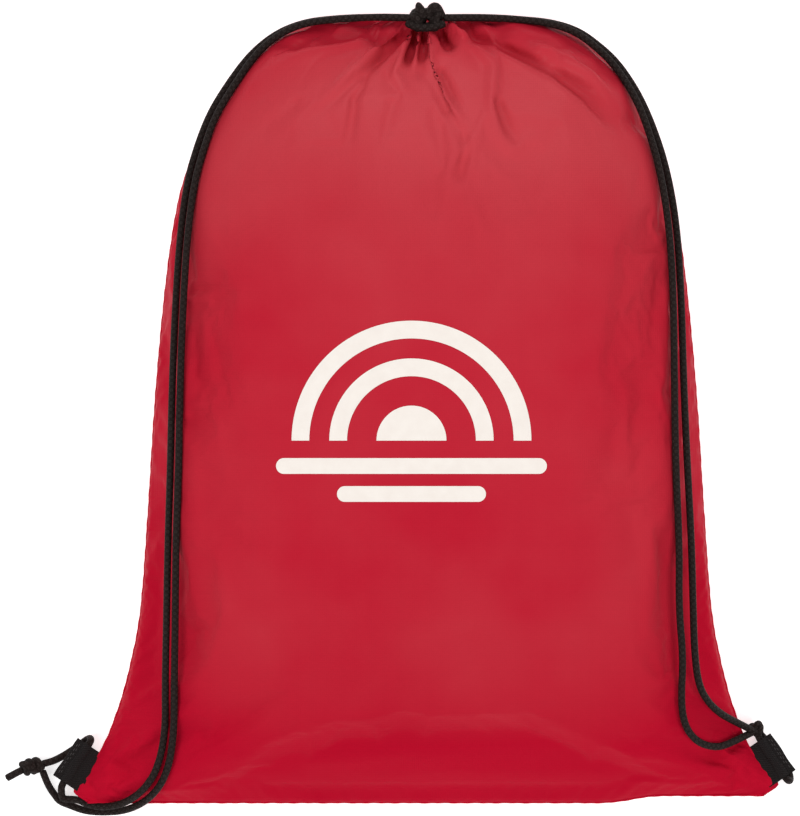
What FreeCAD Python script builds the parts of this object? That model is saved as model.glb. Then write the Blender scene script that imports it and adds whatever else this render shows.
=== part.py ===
import FreeCAD, Part
import math
import os

from FreeCAD import Placement, Rotation, Vector

# Drawstring backpack, stuffed and lying on its back, in millimetres.
# +Z comes out of the front, +Y runs towards the drawn mouth, +X to the right as seen from the front.
# The origin is on the resting surface, under the middle of the bag.

doc = FreeCAD.newDocument("DrawstringBackpack")

# ---------------------------------------------------------------- driving dimensions
sheet = doc.addObject("Spreadsheet::Sheet", "Dimensions")
dimensions = [
    # alias, value, what it is
    ("clothWall", 1.2, "wall of the cloth panels, thicker than the real cloth"),
    ("seamGap", 0.15, "half of the line between the front and back panels"),
    ("clearance", 0.3, "air between pieces that only lie side by side"),
    ("frontFlatness", 3.6, "how square the front is across the bag"),
    ("backFlatness", 5.0, "how square the back is across the bag"),
    ("seamWidth", 7.0, "seam allowance inside the side seams"),
    ("seamThick", 1.0, "two layers of overlocked cloth"),
    ("seamInset", 3.7, "side of the bag to the inside seam allowance"),
    ("bottomSeamLong", 280.0, "length of the seam allowance at the bottom"),
    ("bottomSeamY", -183.5, "outer edge of the bottom seam allowance"),
    ("mouthY", 182.0, "middle of the drawn hem along Y"),
    ("mouthZ", 42.0, "height of the middle of the mouth"),
    ("hemRing", 13.4, "radius of the drawn hem's centre line"),
    ("hemTube", 3.6, "outer radius of the hem channel"),
    ("hemBore", 2.5, "inner radius of the hem channel"),
    ("hemHalf", 140.0, "how much of the ring one half of the hem covers, in degrees"),
    ("mouthClear", 0.5, "air between the hem and the hole it sits in"),
    ("mouthDepth", 40.0, "depth of the hole through the gathered end"),
    ("surfaceSize", 420.0, "side of the block that stands for the resting surface"),
    ("surfaceDepth", 10.0, "thickness of that block"),
    ("cordSize", 3.5, "diameter of the drawcord"),
    ("webLength", 21.5, "width of the webbing, along the tab's tunnel"),
    ("webThick", 1.1, "one layer of webbing"),
    ("tabReach", 12.8, "corner seam to the tab's folded edge"),
    ("tabBore", 2.05, "radius of the tunnel for the cord"),
    ("tabTunnel", 6.8, "corner seam to the middle of the tunnel"),
    ("tabPivot", 2.2, "corner seam to the line that the tab bends on"),
    ("tabHeight", 9.0, "height of the tabs above the surface"),
    ("tabX", 162.9, "middle of the corner seam from the centre line"),
    ("tabY", -172.8, "middle of the corner seam along Y"),
    ("tabTurn", 33.9, "how far the tab points up from straight out, in degrees"),
    ("tabSlip", 2.9, "how much nearer the mouth the right tab is sewn"),
    ("stitchLong", 1.8, "length of one stitch"),
    ("stitchWide", 0.5, "width of the thread"),
    ("stitchHigh", 0.3, "how far a stitch stands up"),
    ("stitchPitch", 2.5, "stitch to stitch"),
    ("stitchEdge", 1.2, "folded edge to the outer row of stitches"),
    ("stitchRows", 0.9, "between the two rows"),
    ("knotLong", 6.7, "half length of the left end knot"),
    ("knotWide", 4.5, "half width of an end knot"),
    ("knotTall", 4.3, "half height of an end knot"),
    ("tailLong", 9.0, "free end of the left cord past its knot"),
    ("mouthKnotLong", 10.4, "half length of the knot at the mouth"),
    ("mouthKnotWide", 7.2, "half width of the knot at the mouth"),
    ("mouthKnotTall", 6.2, "half height of the knot at the mouth"),
    ("earLong", 3.2, "half length of one ear of the mouth knot"),
    ("earWide", 4.4, "half width of one ear"),
    ("earTall", 3.6, "half height of one ear"),
    ("printWide", 130.0, "width of the printed mark"),
    ("printTall", 84.0, "height of the printed mark"),
    ("printHigh", 0.4, "thickness of the print"),
    ("printX", -7.0, "middle of the print from the centre line"),
]
for row, (alias, value, note) in enumerate(dimensions, start=1):
    sheet.set(f"A{row}", alias)
    sheet.set(f"B{row}", str(value))
    sheet.set(f"C{row}", note)
    sheet.setAlias(f"B{row}", alias)
doc.recompute()


def size(alias):
    return float(getattr(sheet, alias))


# ---------------------------------------------------------------- helpers
def bind(item, **links):
    """Ties properties of an object to formulas on the sheet."""
    for name, formula in links.items():
        item.setExpression(name.replace("_", "."), formula)
    return item


def make(kind, label, **links):
    """Adds one document object, named and bound to the sheet."""
    item = doc.addObject(kind, label)
    item.Label = label
    return bind(item, **links)


def shaped(label, shape):
    """A sub-part whose shape comes from Part's own functions."""
    item = doc.addObject("Part::Feature", label)
    item.Label = label
    item.Shape = shape
    return item


def plane(body, role):
    """One of a body's own origin planes."""
    return next(f for f in body.Origin.OriginFeatures if f.Role == role)


def sketch(body, label, role):
    made = body.newObject("Sketcher::SketchObject", label)
    made.AttachmentSupport = [(plane(body, role), "")]
    made.MapMode = "FlatFace"
    return made


def pull(a, b, share):
    return a + (b - a) * share


# ---------------------------------------------------------------- cloth panels
# Stations along the stuffed bag: distance along Y, half width, height of the side seam,
# rise of the front above the seam, drop of the back below it, and how soft the edge is
# (1 is a thin pointed flap, more is a fuller side).
stations = [
    (-186.8, 163.0, 9.0, 3.0, 3.0, 1.0),
    (-182.4, 169.2, 9.0, 18.0, 5.4, 1.0),
    (-173.0, 163.0, 9.0, 31.0, 7.0, 1.0),
    (-163.2, 156.5, 10.0, 40.0, 8.6, 1.1),
    (-150.0, 150.5, 13.0, 47.0, 12.1, 1.3),
    (-128.0, 143.5, 20.0, 53.0, 19.6, 1.7),
    (-95.0, 137.0, 30.0, 57.0, 30.3, 2.1),
    (-50.0, 133.5, 38.0, 60.0, 38.5, 2.4),
    (5.0, 130.0, 42.0, 62.0, 42.5, 2.6),
    (60.0, 125.0, 43.0, 60.5, 43.5, 2.6),
    (98.0, 119.5, 43.0, 57.5, 43.2, 2.5),
    (122.5, 112.5, 43.0, 54.0, 41.8, 2.4),
    (142.0, 103.0, 43.0, 49.5, 39.8, 2.3),
    (158.5, 93.0, 42.5, 43.5, 36.5, 2.2),
    (169.5, 83.5, 42.2, 38.0, 32.8, 2.1),
    (177.6, 75.0, 42.0, 31.6, 29.0, 2.0),
    (183.0, 67.0, 42.0, 25.2, 25.0, 2.0),
    (187.2, 58.0, 42.0, 19.8, 20.4, 2.0),
]
turns = 14  # steps across a section


def section(y, wide, base, rise, squareness, softness, floor):
    """One closed cross-section: a full curve over the cloth and a straight line along the seam."""
    points = []
    for step in range(turns + 1):
        turn = math.pi * step / turns
        across = -math.copysign(abs(math.cos(turn)) ** (2 / squareness), math.cos(turn))
        up = max(0.0, math.sin(turn)) ** (2 / softness)
        points.append(Vector(wide * across, y, base + rise * up))
    curve = Part.BSplineCurve()
    curve.interpolate(points)
    first = points[0]
    last = points[-1]
    low_last = Vector(last.x, y, floor)
    low_first = Vector(first.x, y, floor)
    edges = [curve.toShape()]
    if abs(floor - base) > 1e-6:
        edges.append(Part.makeLine(last, low_last))
        edges.append(Part.makeLine(low_last, low_first))
        edges.append(Part.makeLine(low_first, first))
    else:
        edges.append(Part.makeLine(last, first))
    return Part.Wire(edges)


def skin(label, front, inset):
    """The stuffed half of the bag as a loft, full size or inset by the wall on every side."""
    gap = size("seamGap")
    last = len(stations) - 1
    wires = []
    for index, (y, wide, seam, rise, drop, softness) in enumerate(stations):
        base = seam + gap if front else seam - gap
        height = rise if front else -drop
        square = size("frontFlatness") if front else size("backFlatness")
        lower = -3.0 if front else 3.0
        if inset:
            share = index / last
            along = pull(1.0, -1.0, share) if 2 < index < last - 4 else (1.0 if share < 0.5 else -1.0)
            y = y + inset * along
            wide = wide - inset
            height = height - inset if front else height + inset
        wires.append(section(y, wide, base, height, square, softness, base + lower if inset else base))
    made = doc.addObject("Part::Feature", label)
    made.Shape = Part.makeLoft(wires, True, False, False, 5)
    return made


def panel(label, front):
    """A cloth half: the stuffed shape less its inside, with the mouth cut through the top.

    The back is also pressed flat where it lies on the surface.
    """
    whole = skin(label + "_outside", front, 0.0)
    inside = skin(label + "_inside", front, size("clothWall"))
    hollow = make("Part::Cut", label + "_hollow")
    hollow.Base = whole
    hollow.Tool = inside
    mouth = make(
        "Part::Cylinder",
        label + "_mouth",
        Radius="Dimensions.hemRing + Dimensions.hemTube + Dimensions.mouthClear",
        Height="Dimensions.mouthDepth",
    )
    low = size("mouthY") - size("mouthDepth") / 2
    mouth.Placement = Placement(Vector(0, low, size("mouthZ")), Rotation(Vector(1, 0, 0), -90))
    if front:
        made = make("Part::Cut", label)
        made.Base = hollow
        made.Tool = mouth
        return made
    opened = make("Part::Cut", label + "_opened")
    opened.Base = hollow
    opened.Tool = mouth
    surface = make(
        "Part::Box",
        label + "_surface",
        Length="Dimensions.surfaceSize",
        Width="Dimensions.surfaceSize",
        Height="Dimensions.surfaceDepth",
        Placement_Base_x="-Dimensions.surfaceSize / 2",
        Placement_Base_y="-Dimensions.surfaceSize / 2",
        Placement_Base_z="-Dimensions.surfaceDepth",
    )
    made = make("Part::Cut", label)
    made.Base = opened
    made.Tool = surface
    return made


frontPanel = panel("front_panel", True)
backPanel = panel("back_panel", False)


def side_seam(label, side):
    """The overlocked allowance inside one side seam, from the flap up to the shoulder."""
    wires = []
    for y, wide, seam, rise, drop, softness in stations:
        if -150 <= y <= 145:
            outer = side * (wide - size("seamInset"))
            inner = outer - side * size("seamWidth")
            low = seam - size("seamThick") / 2
            high = seam + size("seamThick") / 2
            corners = [(outer, low), (inner, low), (inner, high), (outer, high), (outer, low)]
            wires.append(Part.makePolygon([Vector(x, y, z) for x, z in corners]))
    return shaped(label, Part.makeLoft(wires, True, False, False, 5))


leftSeam = side_seam("left_side_seam", -1)
rightSeam = side_seam("right_side_seam", 1)
bottomSeam = make(
    "Part::Box",
    "bottom_seam",
    Length="Dimensions.bottomSeamLong",
    Width="Dimensions.seamWidth",
    Height="Dimensions.seamThick",
    Placement_Base_x="-Dimensions.bottomSeamLong / 2",
    Placement_Base_y="Dimensions.bottomSeamY",
    Placement_Base_z="Dimensions.tabHeight - Dimensions.seamThick / 2",
)


# ---------------------------------------------------------------- drawn hem at the mouth
def hem(label, start):
    """Half of the folded hem, drawn into a ring, with a slot inside for the two cords."""
    body = doc.addObject("PartDesign::Body", label)
    body.Label = label
    profile = sketch(body, label + "_profile", "XY_Plane")
    for name, radius in (("Outer", "hemTube"), ("Inner", "hemBore")):
        half = size("cordSize") / 2 + size("clearance") / 2
        ring = size("hemRing")
        r = size(radius)
        upper = Part.Circle(Vector(ring, half, 0), Vector(0, 0, 1), r)
        lower = Part.Circle(Vector(ring, -half, 0), Vector(0, 0, 1), r)
        profile.addGeometry(Part.ArcOfCircle(upper, 0, math.pi))
        profile.addGeometry(Part.ArcOfCircle(lower, math.pi, 2 * math.pi))
        profile.addGeometry(Part.LineSegment(Vector(ring - r, half, 0), Vector(ring - r, -half, 0)))
        profile.addGeometry(Part.LineSegment(Vector(ring + r, -half, 0), Vector(ring + r, half, 0)))
    body.newObject("PartDesign::Revolution", label + "_turn")
    turn = body.Tip
    turn.Profile = profile
    turn.ReferenceAxis = (profile, ["V_Axis"])
    turn.setExpression("Angle", "Dimensions.hemHalf")
    turn.Reversed = True
    body.Placement = Placement(Vector(0, size("mouthY"), size("mouthZ")), Rotation(Vector(0, 1, 0), start))
    return body


frontHem = hem("front_hem", -20)
backHem = hem("back_hem", 160)


# ---------------------------------------------------------------- printed mark
def printed_mark():
    """A thin plain mark on the front: a rising disc with two arcs over a pair of bars."""
    wide = size("printWide")
    tall = size("printTall")
    high = 60
    floor = 70
    foot = -tall * 0.16
    shift = size("printX")
    middle = Vector(shift, foot, floor)
    up = Vector(0, 0, 1)
    disc = Part.makeCylinder(tall * 0.20, high, middle, up, 180)
    pieces = [disc]
    for inner, outer in ((0.29, 0.37), (0.46, 0.54)):
        ring = Part.makeCylinder(wide * outer * 0.82, high, middle, up, 180)
        pieces.append(ring.cut(Part.makeCylinder(wide * inner * 0.82, high, middle, up, 360)))
    for share, drop in ((1.0, 0.10), (0.55, 0.26)):
        long = wide * share
        thick = tall * 0.09
        low = foot - tall * drop - thick
        bar = Part.makeBox(long - thick, thick, high, Vector(shift - (long - thick) / 2, low, floor))
        for side in (-1, 1):
            end = Vector(shift + side * (long - thick) / 2, low + thick / 2, floor)
            bar = bar.fuse(Part.makeCylinder(thick / 2, high, end, up))
        pieces.append(bar)
    film = skin("print_film", True, -size("printHigh")).Shape.cut(skin("print_back", True, 0.0).Shape)
    return [piece.common(film) for piece in pieces]


printMark = shaped("printed_mark", Part.makeCompound(printed_mark()))


# ---------------------------------------------------------------- corner tabs
def corner(side, out, along, height):
    """A point near a corner: out past the corner seam, along it towards the mouth, and above the surface."""
    angle = math.radians(size("tabTurn"))
    shift = along + (size("tabSlip") if side > 0 else 0.0)
    x = size("tabX") + out * math.cos(angle) - shift * math.sin(angle)
    y = size("tabY") + out * math.sin(angle) + shift * math.cos(angle)
    return Vector(side * x, y, height)


def tab(label, side):
    """Webbing folded round the cord and sewn into the cut corner, with a rounded bending edge."""
    body = doc.addObject("PartDesign::Body", label)
    body.Label = label
    strap = sketch(body, label + "_strap", "XZ_Plane")
    thick = size("webThick")
    near = size("tabPivot")
    far = size("tabReach") - thick
    normal = Vector(0, 0, 1)
    strap.addGeometry(Part.LineSegment(Vector(near, thick, 0), Vector(far, thick, 0)))
    strap.addGeometry(Part.LineSegment(Vector(far, -thick, 0), Vector(near, -thick, 0)))
    strap.addGeometry(Part.ArcOfCircle(Part.Circle(Vector(far, 0, 0), normal, thick), -math.pi / 2, math.pi / 2))
    strap.addGeometry(Part.ArcOfCircle(Part.Circle(Vector(near, 0, 0), normal, thick), math.pi / 2, math.pi * 1.5))
    flat = body.newObject("PartDesign::Pad", label + "_flat")
    flat.Profile = strap
    flat.SideType = "Symmetric"
    flat.setExpression("Length", "Dimensions.webLength")
    swell = sketch(body, label + "_swell", "XZ_Plane")
    swell.addGeometry(Part.Circle(Vector(size("tabTunnel"), 0, 0), normal, size("tabBore") + thick))
    hump = body.newObject("PartDesign::Pad", label + "_hump")
    hump.Profile = swell
    hump.SideType = "Symmetric"
    hump.setExpression("Length", "Dimensions.webLength")
    bore = sketch(body, label + "_bore", "XZ_Plane")
    bore.addGeometry(Part.Circle(Vector(size("tabTunnel"), 0, 0), normal, size("tabBore")))
    tunnel = body.newObject("PartDesign::Pocket", label + "_tunnel")
    tunnel.Profile = bore
    tunnel.SideType = "Symmetric"
    tunnel.setExpression("Length", "Dimensions.webLength + 2")
    angle = size("tabTurn") if side > 0 else 180 - size("tabTurn")
    body.Placement = Placement(corner(side, 0, 0, size("tabHeight")), Rotation(Vector(0, 0, 1), angle))
    body.Tip = tunnel
    return body


def stitches(label, side):
    """Two rows of thread through the folded edge of a tab, seen above and below."""
    long = size("stitchLong")
    wide = size("stitchWide")
    high = size("stitchHigh")
    count = int((size("webLength") - 2) / size("stitchPitch"))
    threads = []
    for row in range(2):
        out = size("tabReach") - size("stitchEdge") - row * size("stitchRows")
        for step in range(count):
            along = (step - (count - 1) / 2) * size("stitchPitch")
            for low in (size("webThick"), -size("webThick") - high):
                threads.append(Part.makeBox(wide, long, high, Vector(out - wide, along - long / 2, low)))
    angle = size("tabTurn") if side > 0 else 180 - size("tabTurn")
    made = shaped(label, Part.makeCompound(threads))
    made.Placement = Placement(corner(side, 0, 0, size("tabHeight")), Rotation(Vector(0, 0, 1), angle))
    return made


leftTab = tab("left_corner_tab", -1)
rightTab = tab("right_corner_tab", 1)
leftStitches = stitches("left_tab_stitches", -1)
rightStitches = stitches("right_tab_stitches", 1)


# ---------------------------------------------------------------- drawcords
def tube(label, points):
    """A cord: straight runs joined by tangent arcs, each arc as large as its two runs allow."""
    radius = size("cordSize") / 2
    edges = []
    radii = []
    here = points[0]
    for before, corner_point, after in zip(points, points[1:], points[2:]):
        back = before - corner_point
        ahead = after - corner_point
        turn = math.pi - back.getAngle(ahead)
        reach = 0.45 * min(back.Length, ahead.Length)
        bend = reach / math.tan(turn / 2)
        toward = (back.normalize() + ahead.normalize()).normalize()
        start = corner_point + back * reach
        end = corner_point + ahead * reach
        middle = corner_point + toward * (bend / math.cos(turn / 2) - bend)
        edges.append(Part.LineSegment(here, start).toShape())
        edges.append(Part.Arc(start, middle, end).toShape())
        radii.append(round(bend, 1))
        here = end
    edges.append(Part.LineSegment(here, points[-1]).toShape())
    path = Part.Wire(edges)
    ring = Part.Wire([Part.makeCircle(radius, points[0], points[1] - points[0])])
    solid = path.makePipeShell([ring], True, False)
    expected = math.pi * radius**2 * path.Length
    share = solid.Volume / expected
    print(label, "length", round(path.Length, 1), "least radius", min(radii), "volume share", round(share, 4))
    return shaped(label, solid)


def vectors(points):
    return [Vector(*point) for point in points]


# Each strap is one cord doubled. Points run from the knot at the mouth to the corner.
leftOuter = [
    (-6.8, 189.6, 66.2), (-18.6, 190.0, 62.8), (-32.0, 190.0, 60.2), (-46.0, 189.2, 57.9), (-59.0, 187.5, 55.2),
    (-72.0, 182.4, 53.8), (-84.4, 172.4, 54.8), (-95.0, 158.2, 60.3), (-103.9, 143.8, 61.8), (-110.0, 128.0, 65.8),
    (-114.9, 110.6, 69.2), (-118.3, 84.0, 73.6), (-120.5, 50.0, 77.4), (-122.0, 12.0, 80.0), (-122.8, -26.0, 79.0),
    (-124.0, -62.0, 72.8), (-124.7, -98.0, 65.2), (-125.4, -130.0, 53.8), (-125.3, -154.0, 41.2),
    (-129.2, -171.9, 31.6), (-136.4, -182.4, 24.4), (-145.8, -188.6, 13.8), (-156.0, -190.2, 8.0),
    (-163.4, -188.6, 6.6), (-167.6, -186.2, 6.2),
]
leftInner = [
    (-7.2, 189.8, 70.2), (-18.8, 190.2, 66.9), (-32.0, 189.8, 64.1), (-46.0, 188.9, 61.9), (-59.0, 187.2, 59.1),
    (-71.4, 181.7, 58.0), (-82.7, 171.5, 59.2), (-92.5, 156.9, 65.6), (-101.2, 142.7, 67.2), (-106.7, 127.2, 71.3),
    (-111.4, 110.4, 73.8), (-114.8, 84.0, 78.4), (-116.8, 50.0, 82.0), (-118.2, 12.0, 84.2), (-118.8, -26.0, 83.0),
    (-120.2, -62.0, 76.8), (-120.5, -98.0, 68.2), (-121.0, -130.0, 56.2), (-121.2, -156.0, 43.4),
    (-124.8, -174.6, 31.4), (-132.4, -185.6, 21.8), (-143.4, -191.6, 7.6), (-155.5, -192.6, 2.2),
    (-164.6, -191.8, 2.0), (-170.2, -189.6, 2.0),
]
rightOuter = [
    (8.0, 189.7, 66.2), (19.8, 189.8, 62.8), (33.0, 189.6, 59.8), (47.0, 188.9, 56.7), (60.5, 187.6, 54.1),
    (73.2, 183.7, 53.7), (83.4, 176.3, 54.3), (91.9, 168.4, 55.3), (99.5, 157.5, 57.2), (104.9, 147.4, 58.9),
    (109.8, 135.4, 60.8), (114.4, 121.6, 63.8), (118.4, 103.6, 66.8), (121.2, 82.0, 69.8), (122.8, 52.0, 74.2),
    (123.8, 14.0, 78.0), (125.6, -26.0, 76.0), (127.6, -62.0, 69.4), (128.4, -94.0, 62.2), (129.2, -117.0, 55.8),
    (131.2, -131.5, 48.8), (136.2, -140.0, 40.4), (142.2, -145.2, 32.0), (147.4, -148.0, 24.6),
]
rightInner = [
    (8.4, 189.8, 70.2), (20.0, 190.0, 66.8), (33.0, 189.8, 63.8), (47.0, 188.9, 60.8), (60.0, 187.2, 58.2),
    (72.4, 182.9, 57.8), (82.2, 175.4, 58.5), (90.2, 167.5, 59.5), (97.6, 156.8, 61.4), (102.8, 146.8, 63.0),
    (107.2, 134.8, 65.0), (111.3, 121.0, 68.6), (114.9, 103.2, 72.2), (117.5, 82.0, 75.6), (119.0, 52.0, 79.4),
    (119.3, 14.0, 83.2), (120.0, -26.0, 81.8), (121.8, -64.0, 75.2), (121.5, -94.0, 68.6), (123.7, -118.0, 59.6),
    (122.6, -138.5, 51.8), (124.4, -150.8, 44.8), (130.2, -158.4, 37.8), (138.2, -161.2, 31.0),
    (145.4, -160.0, 25.0),
]
straps = [
    tube("left_cord_outer", vectors(leftOuter)),
    tube("left_cord_inner", vectors(leftInner)),
    tube("right_cord_outer", vectors(rightOuter)),
    tube("right_cord_inner", vectors(rightInner)),
]

# At the corners each cord threads the tab's tunnel, turns back under it and is knotted.
bore = size("tabTunnel")
level = size("tabHeight")
leftThread = [
    (2.6, -18.0, 5.8), (4.6, -15.8, 7.0), (6.5, -13.2, 8.8), (bore, -9.6, level), (bore, -4.0, level),
    (bore, 1.5, level + 0.05), (bore, 7.5, level), (bore, 13.6, level), (8.5, 14.0, 2.0), (10.6, 7.4, 1.9),
    (13.8, -0.2, 2.4), (17.0, -6.0, 4.4), (20.4, -9.4, 6.0),
]
leftEnd = [
    (3.2, -19.6, 2.0), (6.4, -18.4, 2.2), (10.4, -17.0, 3.0), (14.8, -14.4, 4.4), (18.6, -11.6, 5.8),
]
rightThread = [
    (7.6, 14.4, 8.8), (bore, 11.6, level), (bore + 0.05, 6.0, level), (bore, 0.0, level + 0.05),
    (bore, -6.5, level), (bore, -13.4, level), (8.6, -13.4, 2.0), (10.6, -6.6, 1.9), (10.4, 0.0, 2.0),
    (9.8, 6.0, 2.2), (8.8, 11.0, 4.0), (8.4, 13.6, 6.2),
]
threads = [
    tube("left_cord_in_tab", [corner(-1, *point) for point in leftThread]),
    tube("left_cord_end", [corner(-1, *point) for point in leftEnd]),
    tube("right_cord_in_tab", [corner(1, *point) for point in rightThread]),
]


def hem_loop(label, side):
    """The cord inside the drawn hem: a ring that opens at the side where the strap leaves."""
    ring = size("hemRing")
    offset = side * (size("cordSize") + size("clearance")) / 2
    centre = Vector(0, size("mouthY") + offset, size("mouthZ"))
    points = []
    for step in range(12):
        turn = math.radians(14 + 332 * step / 11)
        points.append(centre + Vector(side * math.cos(turn), 0, math.sin(turn)) * ring)
    return tube(label, points)


loops = [hem_loop("left_cord_in_hem", -1), hem_loop("right_cord_in_hem", 1)]


# ---------------------------------------------------------------- knots and the free tail
def lump(label, centre, long, wide, tall, turn):
    """One smooth swelling of a knot, its half sizes taken from the sheet."""
    made = make(
        "Part::Ellipsoid",
        label,
        Radius1=f"Dimensions.{tall}",
        Radius2=f"Dimensions.{long}",
        Radius3=f"Dimensions.{wide}",
    )
    made.Angle1 = -90
    made.Placement = Placement(centre, Rotation(Vector(0, 0, 1), turn))
    return made


leftKnot = lump("left_end_knot", Vector(-190.2, -170.4, 6.2), "knotLong", "knotWide", "knotTall", 11)
rightKnot = lump("right_end_knot", corner(1, 8.1, 16.6, 7.6), "knotWide", "knotWide", "knotTall", 0)
tail = make("Part::Cylinder", "left_cord_tail", Radius="Dimensions.cordSize / 2", Height="Dimensions.tailLong")
tail.Placement = Placement(Vector(-194.6, -172.2, 5.4), Rotation(Vector(0, 0, 1), Vector(-8.2, -4.2, -2.4)))

# The knot at the mouth has a fat middle and two ears that point away from the bag.
middle = Vector(0.6, 190.8, 69.2)
knotBody = lump("mouth_knot_body", middle, "mouthKnotLong", "mouthKnotWide", "mouthKnotTall", 0)
leftEar = lump("mouth_knot_left_ear", middle + Vector(-4.6, 5.8, 0.3), "earLong", "earWide", "earTall", 100)
rightEar = lump("mouth_knot_right_ear", middle + Vector(3.8, 5.8, 0.3), "earLong", "earWide", "earTall", 80)
mouthKnot = make("Part::MultiFuse", "mouth_knot")
mouthKnot.Shapes = [knotBody, leftEar, rightEar]

nodes = [
    frontPanel, backPanel, leftSeam, rightSeam, bottomSeam, frontHem, backHem, printMark,
    leftTab, rightTab, leftStitches, rightStitches, *straps, *threads, *loops,
    leftKnot, rightKnot, tail, mouthKnot,
]

# ---------------------------------------------------------------- check and write
doc.recompute()
for item in doc.Objects:
    if "Invalid" in item.State or "Error" in item.State:
        raise RuntimeError(f"{item.Label} did not build: {item.State}")
for item in nodes:
    if item.Shape.isNull() or not item.Shape.isValid() or not item.Shape.Solids:
        raise RuntimeError(f"{item.Label} has no valid solid")
os.makedirs("parts", exist_ok=True)
for item in nodes:
    item.Shape.exportStep(f"parts/{item.Label}.step")
    print(item.Label, len(item.Shape.Solids), "solids", round(item.Shape.Volume), "mm3")
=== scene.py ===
import math

import bpy
import numpy as np
from mathutils import Matrix, Vector
from mathutils.bvhtree import BVHTree


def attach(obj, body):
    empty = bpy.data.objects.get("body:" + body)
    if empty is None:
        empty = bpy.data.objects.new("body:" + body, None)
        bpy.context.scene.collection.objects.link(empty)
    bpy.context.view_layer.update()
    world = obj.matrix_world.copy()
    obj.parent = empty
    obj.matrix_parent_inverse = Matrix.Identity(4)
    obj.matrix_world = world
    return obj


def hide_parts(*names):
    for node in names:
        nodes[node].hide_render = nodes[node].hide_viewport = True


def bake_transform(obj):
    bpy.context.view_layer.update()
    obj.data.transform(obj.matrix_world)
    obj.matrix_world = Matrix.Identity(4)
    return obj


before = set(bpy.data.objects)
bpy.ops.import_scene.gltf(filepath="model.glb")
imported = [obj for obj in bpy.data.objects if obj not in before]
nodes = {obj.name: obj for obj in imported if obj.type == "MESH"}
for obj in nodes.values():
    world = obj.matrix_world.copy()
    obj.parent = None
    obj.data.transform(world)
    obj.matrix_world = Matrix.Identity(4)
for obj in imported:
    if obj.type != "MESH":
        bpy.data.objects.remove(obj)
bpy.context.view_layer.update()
random = np.random.default_rng(7)
mm = 0.001


def say(text):
    print("bag:", text, flush=True)


# ---- camera ----
# Straight above the bag, which lies on its back, from far off with a long lens.
cameraFacts = {"across": -0.0125, "up": 0.0022, "height": 30.0, "lens": 2747.6}


def addCamera():
    data = bpy.data.cameras.new("camera")
    data.lens = cameraFacts["lens"]
    data.sensor_width = 36
    data.clip_start = 1.0
    data.clip_end = 60
    camera = bpy.data.objects.new("camera", data)
    camera.location = (cameraFacts["across"], cameraFacts["up"], cameraFacts["height"])
    bpy.context.collection.objects.link(camera)
    bpy.context.scene.camera = camera


addCamera()
say("camera")


# ---- shader helper ----
class Sock:
    # wraps an output socket, so that shader maths can be written as expressions
    def __init__(self, tree, socket):
        self.tree = tree
        self.socket = socket

    def node(self, kind, settings=None, out=0, **inputs):
        return addNode(self.tree, kind, settings, out, **inputs)

    def math(self, operation, *others):
        made = self.tree.nodes.new("ShaderNodeMath")
        made.operation = operation
        for place, value in enumerate((self, *others)):
            if isinstance(value, Sock):
                self.tree.links.new(value.socket, made.inputs[place])
            else:
                made.inputs[place].default_value = value
        return Sock(self.tree, made.outputs[0])

    def __add__(self, other):
        return self.math("ADD", other)

    __radd__ = __add__

    def __sub__(self, other):
        return self.math("SUBTRACT", other)

    def __rsub__(self, other):
        return self.math("MULTIPLY", -1.0).math("ADD", other)

    def __mul__(self, other):
        return self.math("MULTIPLY", other)

    __rmul__ = __mul__

    def __truediv__(self, other):
        return self.math("DIVIDE", other)

    def __pow__(self, other):
        return self.math("POWER", other)

    def sin(self):
        return self.math("SINE")

    def abs(self):
        return self.math("ABSOLUTE")

    def above(self, other):
        return self.math("GREATER_THAN", other)

    def clamp(self, low=0.0, high=1.0):
        return self.math("MAXIMUM", low).math("MINIMUM", high)

    def larger(self, other):
        return self.math("MAXIMUM", other)


def addNode(tree, kind, settings=None, out=0, **inputs):
    made = tree.nodes.new(kind)
    for name, value in (settings or {}).items():
        if name == "stops":
            ramp = made.color_ramp
            while len(ramp.elements) < len(value):
                ramp.elements.new(0.5)
            for element, (position, colour) in zip(ramp.elements, value):
                element.position = position
                element.color = (*colour, 1.0)
        else:
            setattr(made, name, value)
    for name, value in inputs.items():
        key = int(name[1:]) if name[0] == "i" and name[1:].isdigit() else name.replace("_", " ")
        if isinstance(value, Sock):
            tree.links.new(value.socket, made.inputs[key])
        else:
            made.inputs[key].default_value = value
    return Sock(tree, made.outputs[out])


def newMaterial(name):
    made = bpy.data.materials.new(name)
    made.use_nodes = True
    tree = made.node_tree
    shader = tree.nodes["Principled BSDF"]
    return made, tree, shader


def feed(tree, shader, name, value):
    if isinstance(value, Sock):
        tree.links.new(value.socket, shader.inputs[name])
    else:
        shader.inputs[name].default_value = value


# ---- shared mesh helpers ----
def addMesh(name, points, faces, material, smooth=True, uv=None):
    mesh = bpy.data.meshes.new(name)
    mesh.from_pydata([tuple(p) for p in points], [], faces)
    mesh.update()
    if uv is not None:
        layer = mesh.uv_layers.new(name="along")
        corner = np.zeros(len(mesh.loops), np.int32)
        mesh.loops.foreach_get("vertex_index", corner)
        layer.data.foreach_set("uv", np.asarray(uv, np.float32)[corner].ravel())
    mesh.polygons.foreach_set("use_smooth", [smooth] * len(mesh.polygons))
    made = bpy.data.objects.new(name, mesh)
    bpy.context.collection.objects.link(made)
    if material is not None:
        mesh.materials.append(material)
    return made


def gridFaces(rows, columns, closed):
    faces = []
    last = columns if closed else columns - 1
    for row in range(rows - 1):
        for column in range(last):
            following = (column + 1) % columns
            a = row * columns + column
            b = row * columns + following
            faces.append((a, b, b + columns, a + columns))
    return faces


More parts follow.
